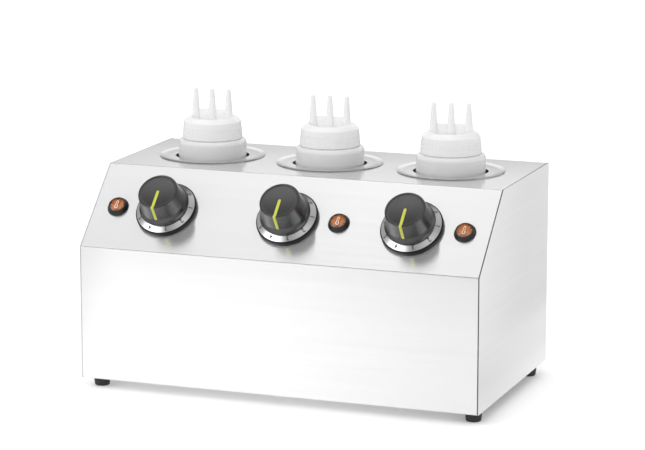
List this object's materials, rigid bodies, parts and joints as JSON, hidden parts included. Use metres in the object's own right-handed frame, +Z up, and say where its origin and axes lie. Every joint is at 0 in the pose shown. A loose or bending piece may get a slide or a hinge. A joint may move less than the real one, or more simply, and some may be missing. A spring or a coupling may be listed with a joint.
{
  "type": "bottle topping warmer",
  "caption": "Countertop warmer: sloped stainless housing with round wells that hold squeeze bottles with nozzle caps, a dial and signal lamp for each well.",
  "frame": {"origin": "under the middle of the object's box, on the plane the feet stand on", "axes": "+X to the right as seen from the front along the row of bottles, -Y towards the user and the control slope, +Z up"},
  "size_m": [0.43, 0.2588, 0.2957],
  "materials": {
    "housing_steel": "fine horizontal brushing, semi-gloss",
    "well_steel": "spun, bright",
    "foot_rubber": "matt black",
    "screw_steel": "bright zinc",
    "dark_plastic": "satin black moulding",
    "terminal_plastic": "natural polyamide",
    "heater_metal": "mica band in a steel sheath",
    "thermostat_case": "glazed ceramic and zinc plate",
    "capillary_copper": "bare copper",
    "scale_metal": "satin, with printed plain numbers",
    "lamp_amber": "clear amber moulding",
    "pointer_lime": "satin lime",
    "shaft_steel": "turned",
    "bottle_plastic": "frosted translucent polyethylene",
    "cap_plastic": "frosted translucent polyethylene"
  },
  "bodies": {
    "housing": {"wrap_panel": "housing_steel", "left_side_panel": "housing_steel", "right_side_panel": "housing_steel", "rear_panel": "housing_steel", "base_plate": "housing_steel", "foot_front_left": "foot_rubber", "foot_front_right": "foot_rubber", "foot_rear_left": "foot_rubber", "foot_rear_right": "foot_rubber", "rear_screws": "screw_steel", "base_screws": "screw_steel", "foot_screws": "screw_steel", "heater_clamp_screws": "screw_steel", "thermostat_screws": "screw_steel", "lamp_nuts": "dark_plastic", "cable_gland": "dark_plastic", "gland_locknut": "dark_plastic", "terminal_block": "terminal_plastic", "bottle_well_1": "well_steel", "heater_band_1": "heater_metal", "thermostat_1": "thermostat_case", "sensor_bulb_1": "capillary_copper", "dial_bezel_1": "dark_plastic", "dial_scale_1": "scale_metal", "lamp_body_1": "dark_plastic", "lamp_lens_1": "lamp_amber", "bottle_well_2": "well_steel", "heater_band_2": "heater_metal", "thermostat_2": "thermostat_case", "sensor_bulb_2": "capillary_copper", "dial_bezel_2": "dark_plastic", "dial_scale_2": "scale_metal", "lamp_body_2": "dark_plastic", "lamp_lens_2": "lamp_amber", "bottle_well_3": "well_steel", "heater_band_3": "heater_metal", "thermostat_3": "thermostat_case", "sensor_bulb_3": "capillary_copper", "dial_bezel_3": "dark_plastic", "dial_scale_3": "scale_metal", "lamp_body_3": "dark_plastic", "lamp_lens_3": "lamp_amber"},
    "knob_1_assembly": {"knob_1": "dark_plastic", "knob_pointer_1": "pointer_lime", "thermostat_shaft_1": "shaft_steel"},
    "bottle_1_body": {"bottle_1": "bottle_plastic"},
    "nozzle_cap_1_body": {"nozzle_cap_1": "cap_plastic"},
    "knob_2_assembly": {"knob_2": "dark_plastic", "knob_pointer_2": "pointer_lime", "thermostat_shaft_2": "shaft_steel"},
    "bottle_2_body": {"bottle_2": "bottle_plastic"},
    "nozzle_cap_2_body": {"nozzle_cap_2": "cap_plastic"},
    "knob_3_assembly": {"knob_3": "dark_plastic", "knob_pointer_3": "pointer_lime", "thermostat_shaft_3": "shaft_steel"},
    "bottle_3_body": {"bottle_3": "bottle_plastic"},
    "nozzle_cap_3_body": {"nozzle_cap_3": "cap_plastic"}
  },
  "joints": [
    {"name": "knob_1_turn", "type": "hinge", "parent": "housing", "child": "knob_1_assembly", "pos_m": [-0.133, -0.09108, 0.18703], "axis": [0, 0.6929, -0.721], "range_deg": [-130, 130]},
    {"name": "knob_2_turn", "type": "hinge", "parent": "housing", "child": "knob_2_assembly", "pos_m": [0, -0.09108, 0.18703], "axis": [0, 0.6929, -0.721], "range_deg": [-130, 130]},
    {"name": "knob_3_turn", "type": "hinge", "parent": "housing", "child": "knob_3_assembly", "pos_m": [0.133, -0.09108, 0.18703], "axis": [0, 0.6929, -0.721], "range_deg": [-130, 130]},
    {"name": "bottle_1_lift", "type": "slide", "parent": "housing", "child": "bottle_1_body", "axis": [0, 0, 1], "range_m": [0, 0.188]},
    {"name": "nozzle_cap_1_lift", "type": "slide", "parent": "bottle_1_body", "child": "nozzle_cap_1_body", "axis": [0, 0, 1], "range_m": [0, 0.035]},
    {"name": "bottle_2_lift", "type": "slide", "parent": "housing", "child": "bottle_2_body", "axis": [0, 0, 1], "range_m": [0, 0.188]},
    {"name": "nozzle_cap_2_lift", "type": "slide", "parent": "bottle_2_body", "child": "nozzle_cap_2_body", "axis": [0, 0, 1], "range_m": [0, 0.035]},
    {"name": "bottle_3_lift", "type": "slide", "parent": "housing", "child": "bottle_3_body", "axis": [0, 0, 1], "range_m": [0, 0.188]},
    {"name": "nozzle_cap_3_lift", "type": "slide", "parent": "bottle_3_body", "child": "nozzle_cap_3_body", "axis": [0, 0, 1], "range_m": [0, 0.035]}
  ]
}
